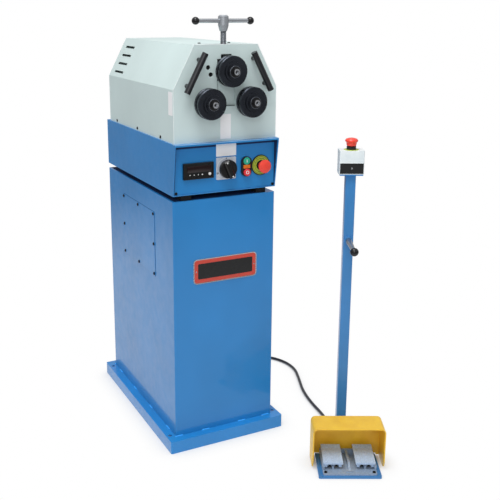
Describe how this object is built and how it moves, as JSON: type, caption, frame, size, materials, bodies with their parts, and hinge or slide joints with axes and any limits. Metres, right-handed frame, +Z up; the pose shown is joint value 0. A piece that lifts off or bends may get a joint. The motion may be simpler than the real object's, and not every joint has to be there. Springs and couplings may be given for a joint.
{
  "type": "ring roller",
  "caption": "Ring roller on a sheet-steel stand: grooved bending rolls, screw feed with cross handle, control panel, and a hooded foot pedal on a post joined by a cable.",
  "frame": {"origin": "on the floor, at the middle of the base pan's footprint", "axes": "+Z up, +X to the operator's right, -Y towards the operator: the rolls face -Y"},
  "size_m": [0.6478, 1.0267, 1.311],
  "materials": {
    "blue_paint": "gloss",
    "light_paint": "satin",
    "black_plastic": "matte",
    "rubber": "matte",
    "bright_steel": "ground",
    "dark_steel": "blackened",
    "plate_steel": "milled",
    "bronze": "machined",
    "cast_iron": "painted casting",
    "aluminium": "as cast",
    "yellow_hood": "moulded",
    "red_plastic": "gloss",
    "green_plastic": "gloss",
    "grey_plastic": "satin",
    "black_paint": "satin"
  },
  "bodies": {
    "machine": {"base_pan": "blue_paint", "stand_shell": "blue_paint", "access_cover": "blue_paint", "machine_pads": "rubber", "control_box": "blue_paint", "control_panel": "blue_paint", "counter_housing": "black_plastic", "selector_switch": "grey_plastic", "button_bezel": "black_plastic", "panel_stop_collar": "black_plastic", "bed_plate": "plate_steel", "front_cover": "light_paint", "head_cover": "light_paint", "rear_cover": "light_paint", "front_frame_plate": "plate_steel", "rear_frame_plate": "plate_steel", "nut_block": "plate_steel", "lower_bearings": "bronze", "gearbox": "cast_iron", "motor": "cast_iron", "grab_handles": "black_paint", "cable_gland": "black_plastic", "pedal_cable": "rubber", "relay_rail": "grey_plastic", "station_base": "blue_paint", "pedal_casting": "aluminium", "pedal_hood": "yellow_hood", "station_pole": "blue_paint", "call_box": "grey_plastic", "call_shutter": "black_plastic", "call_stop_collar": "black_plastic", "carry_lever": "bright_steel", "lever_ball": "black_plastic"},
    "carriage": {"slide_block": "plate_steel", "slide_cover": "light_paint", "top_bearings": "bronze"},
    "feed_screw": {"feed_screw": "bright_steel", "handle_hub": "bright_steel", "cross_bar": "bright_steel", "bar_knobs": "black_plastic"},
    "top_roll": {"top_shaft": "bright_steel", "top_roller": "dark_steel", "top_bolt": "bright_steel"},
    "left_roll": {"left_shaft": "bright_steel", "left_roller": "dark_steel", "left_bolt": "bright_steel", "left_gear": "plate_steel"},
    "right_roll": {"right_shaft": "bright_steel", "right_roller": "dark_steel", "right_bolt": "bright_steel", "right_gear": "plate_steel"},
    "pinion": {"drive_pinion": "plate_steel"},
    "selector": {"selector_knob": "black_plastic"},
    "start_button": {"start_button": "green_plastic"},
    "stop_button": {"stop_button": "red_plastic"},
    "panel_stop": {"panel_stop_head": "red_plastic"},
    "station_stop": {"call_stop_head": "red_plastic"},
    "left_pedal": {"left_pedal": "aluminium"},
    "right_pedal": {"right_pedal": "aluminium"}
  },
  "joints": [
    {"name": "roll_feed", "type": "slide", "parent": "machine", "child": "carriage", "axis": [0, 0, 1], "range_m": [-0.0202, 0.0122]},
    {"name": "screw_turn", "type": "hinge", "parent": "carriage", "child": "feed_screw", "pos_m": [0, -0.276, 1.295], "axis": [0, 0, 1], "range_deg": [-1800, 1080]},
    {"name": "top_roll_spin", "type": "hinge", "parent": "carriage", "child": "top_roll", "pos_m": [0, -0.3, 1.157], "axis": [0, 1, 0], "continuous": true},
    {"name": "left_roll_spin", "type": "hinge", "parent": "machine", "child": "left_roll", "pos_m": [-0.0655, -0.3, 1.068], "axis": [0, 1, 0], "continuous": true},
    {"name": "right_roll_spin", "type": "hinge", "parent": "machine", "child": "right_roll", "pos_m": [0.0655, -0.3, 1.068], "axis": [0, 1, 0], "continuous": true},
    {"name": "pinion_spin", "type": "hinge", "parent": "machine", "child": "pinion", "pos_m": [0, -0.124, 1.0381], "axis": [0, 1, 0], "continuous": true},
    {"name": "selector_turn", "type": "hinge", "parent": "machine", "child": "selector", "pos_m": [0.002, -0.29, 0.873], "axis": [0, 1, 0], "range_deg": [0, 90]},
    {"name": "start_press", "type": "slide", "parent": "machine", "child": "start_button", "axis": [0, 1, 0], "range_m": [0, 0.003], "stiffness_N_per_m": 300},
    {"name": "stop_press", "type": "slide", "parent": "machine", "child": "stop_button", "axis": [0, 1, 0], "range_m": [0, 0.003], "stiffness_N_per_m": 300},
    {"name": "panel_stop_press", "type": "slide", "parent": "machine", "child": "panel_stop", "axis": [0, 1, 0], "range_m": [0, 0.004], "stiffness_N_per_m": 2000},
    {"name": "station_stop_press", "type": "slide", "parent": "machine", "child": "station_stop", "axis": [0, 0, -1], "range_m": [0, 0.002], "stiffness_N_per_m": 2000, "springref_m": -0.001},
    {"name": "left_pedal_press", "type": "hinge", "parent": "machine", "child": "left_pedal", "pos_m": [0.196, -0.61469, 0.024], "axis": [0.8949, -0.4462, 0], "range_deg": [-7, 0], "stiffness_Nm_per_rad": 2, "springref_deg": 11.46},
    {"name": "right_pedal_press", "type": "hinge", "parent": "machine", "child": "right_pedal", "pos_m": [0.28102, -0.65708, 0.024], "axis": [0.8949, -0.4462, 0], "range_deg": [-7, 0], "stiffness_Nm_per_rad": 2, "springref_deg": 11.46}
  ],
  "couplings": [
    {"joint": "roll_feed", "follows": "screw_turn", "m_per_rad": 0.00063662},
    {"joint": "right_roll_spin", "follows": "left_roll_spin", "ratio": 1},
    {"joint": "pinion_spin", "follows": "left_roll_spin", "ratio": -2}
  ]
}
